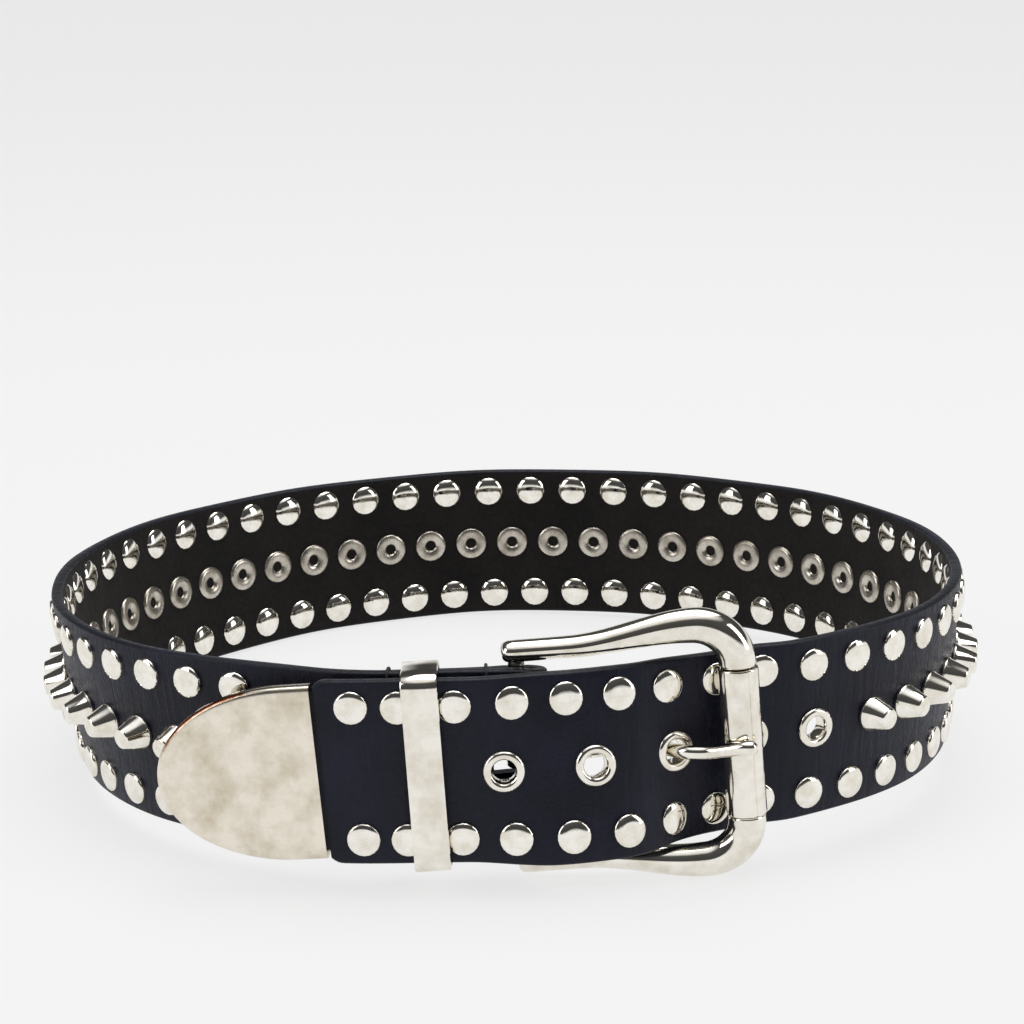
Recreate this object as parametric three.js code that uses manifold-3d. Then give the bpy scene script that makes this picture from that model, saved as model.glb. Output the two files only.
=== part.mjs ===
// A studded leather belt, fastened, standing on its edge as a closed loop.
// Millimetres, +Z up. The buckle is at the front (-Y) and the plain run of the strap at the back (+Y).
import * as THREE from 'three';
import { mergeVertices } from 'three/addons/utils/BufferGeometryUtils.js';
import Module from 'manifold-3d';

const wasm = await Module();
wasm.setup();

// Leather strap
const strapWidth = 50;
const leather = 3.2;
const loopLeft = 131;
const loopRight = 128.3;
const loopBack = 125.2;
const loopFront = 111.8;
const rightTuck = 5.3; // how much less far the right of the front reaches than the left
const frontSquareness = 2.3; // exponent of the oval: 2 is an ellipse, more is squarer
const backSquareness = 1.94;
const flare = 5.6; // how much wider the loop is at the top edge than at the bottom edge, on each side
const flareCentre = 30; // the place across the loop that stays upright
const overlapStep = 8.2; // from the under layer to the free end, middle to middle
const chapeLength = 40; // the turned back end behind the buckle
// Between the keeper and the roller the free end leans: its top edge goes in and its lower edge comes out.
const freeEndLean = 3.8;
const leanRise = 24; // length over which the lean grows behind the keeper
const leanFall = { start: 36, end: 4 }; // the lean fades out between these distances before the roller
const chapeShare = 0.93; // the turned back end is narrower than the strap by this share

// Clearances
const seatGap = 0.3; // between pieces that touch on the real belt
const keeperSlack = 0.45;
const eyeletSlack = 0.68; // between an eyelet's flanges and the bent strap

// Buckle
const heelX = 1.5; // heel bar, to the right of the loop's middle
const heelBarRadius = 2.2;
const buckleReach = 57.6; // heel bar to roller, middle to middle
const buckleRise = 24.3 / strapWidth; // height of the buckle's middle at the heel bar, share of the strap's width
const buckleCant = THREE.MathUtils.degToRad(3.2); // the roller end sits a little higher
const armClearance = 1.2; // between the strap's edge and the arms at the heel bar
const heelRod = 5.7;
const shoulderRod = 10;
const rodDepth = 8.4;
const crownRise = 3.2; // how far the arms bow out on their way to the roller
const rollerRadius = 5.4;
const rollerBarRadius = 2.6;
const rollerInset = 4.6; // from the strap's edge to the shoulder beside the roller
const shoulderRise = 1; // the straight end of a shoulder beside the roller
const passAngle = THREE.MathUtils.degToRad(28); // the strap's slope where it passes behind the roller
const prongRadius = 1.9;
const prongHead = 4.2; // height of the prong's ring round the heel bar
const prongOverhang = 3.2; // how far the prong reaches past the roller's middle
const slotHeight = 10;
const slotLength = 9;

// Keeper and tip
const keeperFromHeel = 25.3;
const keeperWidth = 9.6;
const keeperWall = 1.4;
const keeperCorner = 2.6;
const mouthFromHeel = 53.1; // from the heel bar to the mouth of the metal tip
const tipInset = 1.4; // how much the tip is lower than the strap's edge
const tipStraight = 8;
const tipRound = 35;
const tipSheet = 1.0;
const tongueShare = 0.7; // the leather is thinned inside the tip
const tipRim = 2;
const mouthGap = 0.8;

// Studs and eyelets
const studPitch = 14.3;
const studRadius = 4.5;
const studHeight = 1.5;
const studEdge = 7.1; // from the strap's edge to a stud's middle
const studFromMouth = 7.7;
const lastStudFromHeel = 66; // the flat studs stop this far to the left of the heel bar
const coneRadius = 5;
const coneTop = 2.7;
const coneHeight = 7;
const eyeletPitch = 23.6;
const eyeletCount = 5;
const prongEyelet = 2; // the eyelet that the prong is in, counted from the free end
const eyeletHole = 3.2;
const eyeletBarrel = 0.5;
const eyeletRim = 5.5;
const eyeletRoll = 1;
const eyeletFromRoller = 16; // from the place behind the roller to the prong's eyelet
// Studs and eyelets that were set by hand off their even row: the shift towards the free end is a share of the pitch.
const strays = [
  { row: 'stud', index: 0, shift: -0.18 },
  { row: 'eyelet', index: 4, shift: 0.19 },
];

// Facets of round pieces
const studSides = 8;
const coneSides = 10;
const barSides = 10;
const roundSides = 16;
const eyeletSides = 12;

const halfWidth = strapWidth / 2;
const halfLeather = leather / 2;
const foldRadius = heelBarRadius + seatGap + halfLeather;
const heel = new THREE.Vector3(heelX, foldRadius - loopFront, strapWidth * buckleRise);

const nickel = { color: 0xd9d4c8, roughness: 0.16, metalness: 1 };
const brightNickel = { color: 0xe4e2dd, roughness: 0.08, metalness: 1 };
const blackLeather = { color: 0x212430, roughness: 0.55, metalness: 0 };

function piece(name, geometry, finish) {
  const mesh = new THREE.Mesh(geometry, new THREE.MeshStandardMaterial(finish));
  mesh.name = name;
  return mesh;
}

// A closed solid from a geometry: only positions, shared vertices merged, no flat triangles at the poles.
function solid(geometry) {
  const bare = geometry.clone();
  bare.deleteAttribute('normal');
  bare.deleteAttribute('uv');
  const merged = mergeVertices(bare, 1e-4);
  const corners = merged.index.array;
  const kept = [];
  for (let i = 0; i < corners.length; i += 3) {
    const [a, b, c] = [corners[i], corners[i + 1], corners[i + 2]];
    if (a !== b && b !== c && c !== a) kept.push(a, b, c);
  }
  const vertProperties = new Float32Array(merged.attributes.position.array);
  return new wasm.Manifold(new wasm.Mesh({ numProp: 3, vertProperties, triVerts: new Uint32Array(kept) }));
}

function shaped(body) {
  const mesh = body.getMesh();
  const geometry = new THREE.BufferGeometry();
  geometry.setAttribute('position', new THREE.BufferAttribute(mesh.vertProperties, 3));
  geometry.setIndex(new THREE.BufferAttribute(mesh.triVerts, 1));
  geometry.computeVertexNormals();
  return geometry;
}

function smoothStep(from, to, value) {
  return THREE.MathUtils.smoothstep(value, from, to);
}

function spread(from, to, steps) {
  return Array.from({ length: steps }, (_, i) => THREE.MathUtils.lerp(from, to, i / steps));
}

// A profile of [radius, height] turned about +Z.
function turned(profile, sides) {
  const points = profile.map(([radius, height]) => new THREE.Vector2(radius, height));
  return new THREE.LatheGeometry(points, sides).rotateX(Math.PI / 2);
}

function box(low, high) {
  const size = new THREE.Vector3().subVectors(high, low);
  const middle = new THREE.Vector3().addVectors(low, high).multiplyScalar(0.5);
  return new THREE.BoxGeometry(size.x, size.y, size.z).translate(middle.x, middle.y, middle.z);
}

// A bar through rings. Each ring has a middle, a width in the plane of the bend and a depth across it.
function bentBar(rings, across, sides) {
  const steps = rings.length - 1;
  const bar = new THREE.CylinderGeometry(1, 1, steps, sides, steps);
  const position = bar.attributes.position;
  for (let i = 0; i < position.count; i += 1) {
    const row = Math.round(position.getY(i) + steps / 2);
    const ring = rings[row];
    const before = rings[Math.max(row - 1, 0)].middle;
    const after = rings[Math.min(row + 1, steps)].middle;
    const along = new THREE.Vector3().subVectors(after, before).normalize();
    const inPlane = new THREE.Vector3().crossVectors(along, across).normalize();
    const point = ring.middle.clone();
    point.addScaledVector(inPlane, (position.getX(i) * ring.width) / 2);
    point.addScaledVector(across, (position.getZ(i) * ring.depth) / 2);
    position.setXYZ(i, point.x, point.y, point.z);
  }
  return bar;
}

// The strap's route in plan: an oval with a rounder back, squarer and shallower at the front.
function oval(angle) {
  const c = Math.cos(angle);
  const s = Math.sin(angle);
  const across = c < 0 ? loopLeft : loopRight;
  const front = c < 0 ? loopFront : loopFront - rightTuck;
  const power = s > 0 ? backSquareness : frontSquareness;
  const reach = (Math.abs(c / across) ** power + Math.abs(s / (s > 0 ? loopBack : front)) ** power) ** (-1 / power);
  return new THREE.Vector2(c * reach, s * reach);
}

const rollerPlan = new THREE.Vector2(heel.x + buckleReach * Math.cos(buckleCant), heel.y);
const passDistance = rollerRadius + 3 * seatGap + studHeight + halfLeather;
const passDirection = new THREE.Vector2(-Math.cos(passAngle), -Math.sin(passAngle));
const behindRoller = rollerPlan.clone().add(
  new THREE.Vector2(-Math.sin(passAngle), Math.cos(passAngle)).multiplyScalar(passDistance),
);
const frontLine = -loopFront - overlapStep;

function planRoute() {
  const chapeLine = leather + keeperSlack + keeperWall + 2 * seatGap - loopFront;
  const fold = heel.x + halfWidth * Math.sin(buckleCant);
  const route = new THREE.Path();
  route.moveTo(heel.x - chapeLength, chapeLine);
  route.splineThru([
    new THREE.Vector2(heel.x - 28, chapeLine),
    new THREE.Vector2(heel.x - 17.5, chapeLine + 0.3),
    new THREE.Vector2(heel.x - 9, heel.y + foldRadius - 1.3),
    new THREE.Vector2(heel.x - 3.5, heel.y + foldRadius - 0.15),
    new THREE.Vector2(fold, heel.y + foldRadius),
  ]);
  const chapeEnd = route.getLength();
  route.absarc(fold, heel.y, foldRadius, Math.PI / 2, -Math.PI / 2, true);
  const foldEnd = route.getLength();
  const loop = [
    new THREE.Vector2(heel.x - 13.5, -loopFront),
    new THREE.Vector2(heel.x - 31.5, 0.2 - loopFront),
    new THREE.Vector2(heel.x - 45.5, 2.6 - loopFront),
  ];
  const firstAngle = THREE.MathUtils.degToRad(-119);
  const lastAngle = THREE.MathUtils.degToRad(-410.7);
  const ovalSteps = 26;
  for (let i = 0; i <= ovalSteps; i += 1) {
    loop.push(oval(THREE.MathUtils.lerp(firstAngle, lastAngle, i / ovalSteps)));
  }
  loop.push(behindRoller.clone().addScaledVector(passDirection, -9));
  loop.push(behindRoller);
  loop.push(behindRoller.clone().addScaledVector(passDirection, eyeletFromRoller));
  loop.push(new THREE.Vector2(heel.x + buckleReach * 0.495, frontLine + 5.9));
  loop.push(new THREE.Vector2(heel.x + buckleReach * 0.234, frontLine + 1.6));
  loop.push(new THREE.Vector2(heel.x - 1.5, frontLine + 0.1));
  loop.push(new THREE.Vector2(heel.x - 16.5, frontLine));
  loop.push(new THREE.Vector2(heel.x - 31.5, frontLine + 0.3));
  loop.push(new THREE.Vector2(heel.x - 43, frontLine + 1.2));
  loop.push(new THREE.Vector2(heel.x - mouthFromHeel, frontLine + 2.7));
  route.splineThru(loop);
  return { route, chapeEnd, foldEnd, mouth: route.getLength() };
}

const { route, chapeEnd, foldEnd, mouth } = planRoute();

function planPoint(distance) {
  return route.getPoint(THREE.MathUtils.clamp(distance / mouth, 0, 1));
}

// The distance along the route where it crosses a line at one place across the loop, searched between two distances.
function distanceAt(x, from, to) {
  const rising = planPoint(to).x > planPoint(from).x;
  let [low, high] = [from, to];
  for (let i = 0; i < 40; i += 1) {
    const middle = (low + high) / 2;
    if (planPoint(middle).x < x === rising) low = middle;
    else high = middle;
  }
  return (low + high) / 2;
}

const leanStart = mouthFromHeel - keeperFromHeel + keeperWidth;
const rollerFromMouth = mouth - distanceAt(behindRoller.x, mouth - mouthFromHeel - 2 * buckleReach, mouth - mouthFromHeel);

// How far the strap's edges lean in and out at one place.
function edgeLean(distance) {
  const fromMouth = mouth - distance;
  const rise = smoothStep(leanStart, leanStart + leanRise, fromMouth);
  const fall = smoothStep(rollerFromMouth - leanFall.start, rollerFromMouth - leanFall.end, fromMouth);
  return freeEndLean * rise * (1 - fall);
}

// A point on the strap: distance along the route, height above the strap's lower edge, depth outwards.
function strapPoint(distance, height, depth) {
  const middle = planPoint(distance);
  const along = route.getTangent(THREE.MathUtils.clamp(distance / mouth, 0, 1));
  const out = depth - edgeLean(distance) * ((2 * height) / strapWidth - 1);
  const x = middle.x - along.y * out;
  const y = middle.y + along.x * out;
  const lean = (flare * (x - flareCentre)) / ((loopLeft + loopRight) / 2);
  const share = THREE.MathUtils.lerp(chapeShare, 1, smoothStep(chapeEnd, foldEnd + leather, distance));
  return new THREE.Vector3(x + lean * (height / strapWidth - 0.5), y, halfWidth + (height - halfWidth) * share);
}

// A frame on the flat facet at that place: its X runs back along the route, its Y up the strap and its Z outwards.
function seat(distance, height, depth = 0) {
  const next = Math.max(stations.findIndex((at) => at > distance), 1);
  const [from, to] = distance < stations.at(-1) ? [stations[next - 1], stations[next]] : stations.slice(-2);
  const start = strapPoint(from, height, 0);
  const end = strapPoint(to, height, 0);
  const back = start.clone().sub(end).normalize();
  const top = strapPoint(from, strapWidth, 0).add(strapPoint(to, strapWidth, 0));
  const up = top.sub(strapPoint(from, 0, 0)).sub(strapPoint(to, 0, 0)).normalize();
  const out = new THREE.Vector3().crossVectors(back, up).normalize();
  back.crossVectors(up, out);
  const frame = new THREE.Matrix4().makeBasis(back, up, out);
  const middle = start.lerp(end, (distance - from) / (to - from));
  return frame.setPosition(middle.addScaledVector(out, depth));
}

const prongEyeletAt = mouth - rollerFromMouth + eyeletFromRoller;
const firstEyeletAt = prongEyeletAt + prongEyelet * eyeletPitch;
const lastEyeletAt = firstEyeletAt - (eyeletCount - 1) * eyeletPitch;
const lastStudAt = distanceAt(heelX - lastStudFromHeel, foldEnd, foldEnd + loopLeft);

function placesInRow(row, first, pitch, count) {
  return Array.from({ length: count }, (_, index) => {
    const stray = strays.find((one) => one.row === row && one.index === index);
    return first - pitch * (index - (stray ? stray.shift : 0));
  });
}

const firstStudAt = mouth - studFromMouth;
const studCount = Math.floor((firstStudAt - lastStudAt) / studPitch) + 1;
const studPlaces = placesInRow('stud', firstStudAt, studPitch, studCount);
const eyeletPlaces = placesInRow('eyelet', firstEyeletAt, eyeletPitch, eyeletCount);
const conePlaces = placesInRow('cone', firstStudAt - studPitch / 2, studPitch, studCount - 1)
  .filter((at) => at < eyeletPlaces.at(-1) - studPitch);

// The strap's flat facets are one stud pitch long with studs in the middle of each. Near the buckle they are halved.
const stations = [...spread(0, chapeEnd, 7), ...spread(chapeEnd, foldEnd, 8), foldEnd];
const facets = [];
for (let at = mouth - studFromMouth - studPitch / 2; at > foldEnd + studPitch / 2; at -= studPitch) {
  facets.unshift(at);
  const nearBuckle = at < firstEyeletAt + eyeletPitch && at > lastEyeletAt - eyeletPitch / 2;
  if (nearBuckle) facets.unshift(at - studPitch / 2);
}
stations.push(...facets, mouth - mouthGap);

// The tip's outline: straight by the mouth, then half an ellipse, all lying to the left of the mouth.
function tipOutline(inset, overlap) {
  const half = halfWidth - tipInset - inset;
  const outline = new THREE.Shape();
  outline.moveTo(overlap, -half);
  outline.lineTo(-tipStraight, -half);
  outline.absellipse(-tipStraight, 0, tipRound - inset, half, -Math.PI / 2, Math.PI / 2, true);
  outline.lineTo(overlap, half);
  return outline;
}

function slab(outline, thickness) {
  const plate = new THREE.ExtrudeGeometry(outline, { depth: thickness, bevelEnabled: false, curveSegments: 12 });
  return plate.translate(0, 0, -thickness / 2);
}

const tongue = leather * tongueShare;
const tipThickness = tongue + 2 * (seatGap + tipSheet);
const tipFrame = seat(mouth, halfWidth);

// A long flat box bent round the route.
function strapBody() {
  const steps = stations.length - 1;
  const body = new THREE.BoxGeometry(steps, strapWidth, leather, steps, 2, 1);
  const position = body.attributes.position;
  for (let i = 0; i < position.count; i += 1) {
    const station = stations[steps - Math.round(position.getX(i) + steps / 2)];
    const point = strapPoint(station, position.getY(i) + halfWidth, position.getZ(i));
    position.setXYZ(i, point.x, point.y, point.z);
  }
  return solid(body);
}

function makeStrap() {
  let strap = strapBody().add(solid(slab(tipOutline(tipRim, 4), tongue).applyMatrix4(tipFrame)));
  const sink = 0.6;
  const head = [
    [0, -sink],
    [studRadius, -sink],
    [studRadius * 0.94, studHeight],
    [0, studHeight],
  ];
  for (const at of studPlaces) {
    for (const height of [studEdge, strapWidth - studEdge]) {
      strap = strap.add(solid(turned(head, studSides).applyMatrix4(seat(at, height, halfLeather))));
    }
  }
  const holeRadius = eyeletHole + eyeletBarrel + seatGap;
  const punch = [
    [0, -leather],
    [holeRadius, -leather],
    [holeRadius, leather],
    [0, leather],
  ];
  for (const at of eyeletPlaces) {
    strap = strap.subtract(solid(turned(punch, eyeletSides).applyMatrix4(seat(at, halfWidth))));
  }
  const slot = box(
    new THREE.Vector3(heel.x - slotLength, heel.y - foldRadius - leather, heel.z - slotHeight / 2),
    new THREE.Vector3(heel.x + 2 * foldRadius, heel.y + foldRadius + leather, heel.z + slotHeight / 2),
  );
  return piece('strap', shaped(strap.subtract(solid(slot))), blackLeather);
}

function makeCone(at, index) {
  const profile = [
    [0, 0],
    [coneRadius, 0],
    [coneTop, coneHeight],
    [0, coneHeight],
  ];
  const name = `cone_stud_${String(index + 1).padStart(2, '0')}`;
  const cone = piece(name, shaped(solid(turned(profile, coneSides))), brightNickel);
  cone.applyMatrix4(seat(at, halfWidth, halfLeather + seatGap));
  return cone;
}

function makeEyelet(at, index) {
  const face = halfLeather + eyeletSlack;
  const barrel = eyeletHole + eyeletBarrel;
  const profile = [
    [eyeletHole, -face - eyeletRoll / 2],
    [eyeletRim - 0.4, -face - eyeletRoll / 2],
    [eyeletRim - 0.4, -face],
    [barrel, -face],
    [barrel, face],
    [eyeletRim, face],
    [eyeletRim - 0.8, face + eyeletRoll],
    [eyeletHole, face + eyeletRoll * 0.6],
    [eyeletHole, -face - eyeletRoll / 2],
  ];
  const eyelet = piece(`eyelet_${index + 1}`, shaped(solid(turned(profile, eyeletSides))), nickel);
  eyelet.applyMatrix4(seat(at, halfWidth));
  return eyelet;
}

// The buckle's own frame: X from the heel bar to the roller, Y into the loop, Z up.
function makeBuckle() {
  const buckle = new THREE.Group();
  buckle.position.copy(heel);
  buckle.rotation.y = -buckleCant;
  const shoulder = halfWidth - rollerInset;
  const heelHalf = halfWidth + armClearance + heelRod / 2;
  const crownHalf = heelHalf + crownRise;
  const cornerStart = buckleReach * 0.8;
  const into = new THREE.Vector3(0, 1, 0);
  const rings = [];
  const addRing = (x, z, share) => {
    const width = THREE.MathUtils.lerp(heelRod, shoulderRod, smoothStep(0.2, 1, x / buckleReach));
    const depth = rodDepth * THREE.MathUtils.lerp(0.88, 1.14, x / buckleReach);
    rings.push({ middle: new THREE.Vector3(x, 0, z), width: width * share, depth: depth * share });
  };
  addRing(-heelBarRadius - 1.4, heelHalf, 0.62);
  addRing(-heelBarRadius - 0.4, heelHalf, 0.92);
  const armSteps = 7;
  for (let i = 0; i < armSteps; i += 1) {
    const x = (cornerStart * i) / armSteps;
    addRing(x, heelHalf + crownRise * smoothStep(0.25, 0.78, x / buckleReach), 1);
  }
  const cornerSteps = 6;
  for (let i = 0; i <= cornerSteps; i += 1) {
    const turn = (Math.PI / 2) * (i / cornerSteps);
    const x = cornerStart + (buckleReach - cornerStart) * Math.sin(turn);
    addRing(x, shoulder + shoulderRise + (crownHalf - shoulder - shoulderRise) * Math.cos(turn), 1);
  }
  addRing(buckleReach, shoulder, 1);
  const upper = solid(bentBar(rings, into, barSides));
  const flipped = rings.map((ring) => ({ ...ring, middle: ring.middle.clone().multiply(new THREE.Vector3(1, 1, -1)) }));
  const lower = solid(bentBar(flipped, into, barSides));
  const heelBar = new THREE.CylinderGeometry(heelBarRadius, heelBarRadius, 2 * heelHalf, barSides);
  const rollerBar = new THREE.CylinderGeometry(rollerBarRadius, rollerBarRadius, 2 * shoulder + 2, barSides);
  const frame = upper.add(lower)
    .add(solid(heelBar.rotateX(Math.PI / 2)))
    .add(solid(rollerBar.rotateX(Math.PI / 2).translate(buckleReach, 0, 0)));
  buckle.add(piece('buckle_frame', shaped(frame), nickel));

  const rollerHalf = shoulder - seatGap;
  const rollerBore = rollerBarRadius + seatGap;
  const rollerProfile = [
    [rollerBore, -rollerHalf],
    [rollerRadius, -rollerHalf],
    [rollerRadius, rollerHalf],
    [rollerBore, rollerHalf],
    [rollerBore, -rollerHalf],
  ];
  const roller = piece('roller', shaped(solid(turned(rollerProfile, roundSides))), nickel);
  roller.position.x = buckleReach;
  buckle.add(roller);
  return buckle;
}

// The prong runs behind the free end, turns out through its eyelet and lies on the roller.
function makeProng() {
  const eyelet = seat(prongEyeletAt, halfWidth);
  const throughEyelet = [
    { along: -1.72, out: -2.42 },
    { along: -0.6, out: -1.62 },
    { along: -0.27, out: -0.81 },
    { along: 0, out: 0 },
    { along: 0.27, out: 0.81 },
    { along: 0.66, out: 1.56 },
    { along: 1.88, out: 2.56 },
  ].map(({ along, out }) => new THREE.Vector3(along * eyeletHole, 0, out * leather).applyMatrix4(eyelet));
  const ringRadius = heelBarRadius + seatGap;
  const start = heel.clone().add(new THREE.Vector3(ringRadius + prongRadius * 0.8, 0, 0));
  const rollerMiddle = new THREE.Vector3(buckleReach, 0, 0)
    .applyAxisAngle(new THREE.Vector3(0, 1, 0), -buckleCant).add(heel);
  const onRoller = rollerMiddle.clone().sub(new THREE.Vector3(0, rollerRadius + 3 * seatGap + prongRadius, -0.4));
  const tip = onRoller.clone().add(new THREE.Vector3(prongOverhang, -0.2, 0));
  const run = new THREE.CatmullRomCurve3([
    start,
    start.clone().lerp(throughEyelet[0], 0.5).add(new THREE.Vector3(0, 0.4, 0)),
    ...throughEyelet,
    onRoller,
    tip,
  ]);
  const steps = 18;
  const rings = run.getSpacedPoints(steps).map((middle) => ({ middle, width: 2 * prongRadius, depth: 2 * prongRadius }));
  rings[steps].width *= 0.75;
  const shank = solid(bentBar(rings, new THREE.Vector3(0, 0, 1), barSides));
  const outer = ringRadius + prongRadius * 1.1;
  const ringProfile = [
    [ringRadius, -prongHead / 2],
    [outer, -prongHead / 2],
    [outer, prongHead / 2],
    [ringRadius, prongHead / 2],
    [ringRadius, -prongHead / 2],
  ];
  const ring = turned(ringProfile, eyeletSides).rotateY(-buckleCant).translate(heel.x, heel.y, heel.z);
  return piece('prong', shaped(shank.add(solid(ring))), nickel);
}

// The keeper is a flat metal loop round the under layer and the free end.
function makeKeeper() {
  const at = distanceAt(heelX - keeperFromHeel, mouth - 80, mouth);
  const front = halfLeather + studHeight + seatGap;
  const back = overlapStep + halfLeather + keeperSlack;
  const half = halfWidth + keeperSlack;
  const outer = new THREE.Shape();
  const [left, right, low, high] = [-back - keeperWall, front + keeperWall, -half - keeperWall, half + keeperWall];
  outer.moveTo(left + 1, low);
  outer.lineTo(right - keeperCorner, low);
  outer.absarc(right - keeperCorner, low + keeperCorner, keeperCorner, -Math.PI / 2, 0, false);
  outer.absarc(right - keeperCorner, high - keeperCorner, keeperCorner, 0, Math.PI / 2, false);
  outer.lineTo(left + 1, high);
  outer.absarc(left + 1, high - 1, 1, Math.PI / 2, Math.PI, false);
  outer.absarc(left + 1, low + 1, 1, Math.PI, Math.PI * 1.5, false);
  const hole = new THREE.Path();
  hole.moveTo(-back, -half);
  hole.lineTo(-back, half);
  hole.lineTo(front - 1, half);
  hole.lineTo(front, half - 1);
  hole.lineTo(front, 1 - half);
  hole.lineTo(front - 1, -half);
  outer.holes.push(hole);
  const band = new THREE.ExtrudeGeometry(outer, {
    depth: keeperWidth, bevelEnabled: false, curveSegments: 4,
  });
  band.translate(0, 0, -keeperWidth / 2).rotateY(-Math.PI / 2);
  const keeper = piece('keeper', shaped(solid(band)), nickel);
  keeper.applyMatrix4(seat(at, halfWidth));
  return keeper;
}

function makeTip() {
  const plate = solid(slab(tipOutline(0, 0), tipThickness));
  const pocket = solid(slab(tipOutline(tipRim - seatGap, 2), tongue + 2 * seatGap));
  const tip = piece('tip', shaped(plate.subtract(pocket)), nickel);
  tip.applyMatrix4(tipFrame);
  return tip;
}

// The loop rests on the far lower edge of the strap and on the buckle's lower arm.
function restTurn() {
  const crown = halfWidth + armClearance + heelRod / 2 + crownRise;
  const low = new THREE.Vector3(buckleReach * 0.8, 0, -crown - shoulderRod * 0.45)
    .applyAxisAngle(new THREE.Vector3(0, 1, 0), -buckleCant).add(heel);
  const away = new THREE.Vector2(low.x, low.y).normalize();
  const behind = spread(foldEnd, mouth, 200).map((at) => -away.dot(planPoint(at)));
  const reach = Math.hypot(low.x, low.y) + Math.max(...behind) + halfLeather;
  const axis = new THREE.Vector3(away.y, -away.x, 0);
  return new THREE.Quaternion().setFromAxisAngle(axis, Math.atan2(-low.z, reach));
}

const belt = new THREE.Group();
belt.add(makeStrap());
belt.add(makeBuckle());
belt.add(makeProng());
belt.add(makeKeeper());
belt.add(makeTip());
eyeletPlaces.forEach((at, index) => belt.add(makeEyelet(at, index)));
conePlaces.forEach((at, index) => belt.add(makeCone(at, index)));
belt.quaternion.copy(restTurn());

// The origin is the middle of the belt's box, at the surface that it stands on.
const model = new THREE.Group();
model.add(belt);
model.updateMatrixWorld(true);
const extent = new THREE.Box3().setFromObject(model, true);
const middle = extent.getCenter(new THREE.Vector3());
belt.position.set(-middle.x, -middle.y, -extent.min.z);

export default model;
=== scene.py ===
# %% [markdown]
# # A studded leather belt
# The belt is fastened and stands on its edge as a closed loop. Its solids are loaded first, as a fixed frame.
# Every piece below is made in the belt's own upright frame, in millimetres, and is then tipped forward
# onto the buckle's lower arm, as the belt stands.

# %% Load the frame
import math

import bmesh
import bpy
import numpy as np
from mathutils import Matrix, Quaternion, Vector, kdtree


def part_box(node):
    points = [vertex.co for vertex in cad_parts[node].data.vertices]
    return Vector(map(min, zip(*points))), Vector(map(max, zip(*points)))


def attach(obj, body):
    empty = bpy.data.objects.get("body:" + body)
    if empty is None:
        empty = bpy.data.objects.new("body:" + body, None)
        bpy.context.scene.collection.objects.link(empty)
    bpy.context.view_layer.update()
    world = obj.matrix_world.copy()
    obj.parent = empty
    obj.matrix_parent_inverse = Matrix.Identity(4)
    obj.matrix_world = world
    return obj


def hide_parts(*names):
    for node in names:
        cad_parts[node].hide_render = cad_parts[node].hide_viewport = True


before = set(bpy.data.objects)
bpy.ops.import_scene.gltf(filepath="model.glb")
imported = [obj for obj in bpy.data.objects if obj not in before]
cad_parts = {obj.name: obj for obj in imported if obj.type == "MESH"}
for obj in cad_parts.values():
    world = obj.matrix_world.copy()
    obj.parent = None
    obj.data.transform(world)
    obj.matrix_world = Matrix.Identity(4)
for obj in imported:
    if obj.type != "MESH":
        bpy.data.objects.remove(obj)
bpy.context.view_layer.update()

MM = 0.001

# %% [markdown]
# The sizes are those of the solids. The strap is 50 mm wide, which sets the scale of all the rest.

# %% Sizes in millimetres
STRAP_WIDTH, LEATHER = 50.0, 3.2
LOOP_LEFT, LOOP_RIGHT, LOOP_BACK, LOOP_FRONT, RIGHT_TUCK = 131.0, 128.3, 125.2, 111.8, 5.3
FRONT_SQUARENESS, BACK_SQUARENESS = 2.3, 1.94
FLARE, FLARE_CENTRE, OVERLAP_STEP, CHAPE_LENGTH = 5.6, 30.0, 8.2, 40.0
SEAT_GAP, KEEPER_SLACK = 0.3, 0.45
HEEL_X, HEEL_BAR_RADIUS, BUCKLE_REACH, BUCKLE_CANT = 1.5, 2.2, 57.6, math.radians(3.2)
ARM_CLEARANCE, HEEL_ROD, SHOULDER_ROD, ROD_DEPTH, CROWN_RISE = 1.2, 5.7, 10.0, 8.4, 3.2
ROLLER_RADIUS, ROLLER_BAR_RADIUS, ROLLER_INSET, SHOULDER_RISE = 5.4, 2.6, 4.6, 1.0
PASS_ANGLE = math.radians(28)
PRONG_RADIUS, PRONG_HEAD, PRONG_OVERHANG = 1.9, 4.2, 3.2
KEEPER_FROM_HEEL, KEEPER_WIDTH, KEEPER_WALL = 25.3, 9.6, 1.4
MOUTH_FROM_HEEL, TIP_INSET, TIP_STRAIGHT, TIP_ROUND = 53.1, 1.4, 8.0, 35.0
TIP_THICKNESS = LEATHER * 0.7 + 2 * (SEAT_GAP + 1.0)
STUD_PITCH, STUD_EDGE, STUD_FROM_MOUTH, LAST_STUD_FROM_HEEL = 14.3, 7.1, 7.7, 66.0
STUD_HEIGHT = 1.5
EYELET_PITCH, EYELET_COUNT, EYELET_FROM_ROLLER, EYELET_HOLE = 23.6, 5, 16.0, 3.2
STRAYS = {("stud", 0): -0.18, ("eyelet", 4): 0.19}
FREE_END_LEAN, LEAN_RISE, LEAN_FALL, CHAPE_SHARE = 3.8, 24.0, (36.0, 4.0), 0.93
HALF_WIDTH, HALF_LEATHER = STRAP_WIDTH / 2, LEATHER / 2
FOLD_RADIUS = HEEL_BAR_RADIUS + SEAT_GAP + HALF_LEATHER
HEEL = Vector((HEEL_X, FOLD_RADIUS - LOOP_FRONT, 24.3))

# %% [markdown]
# The belt rests on the far edge of its strap and on the buckle's lower arm, so it leans forward by a little
# over two degrees. The roller's box in the frame shows where the leaning belt stands.

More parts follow.
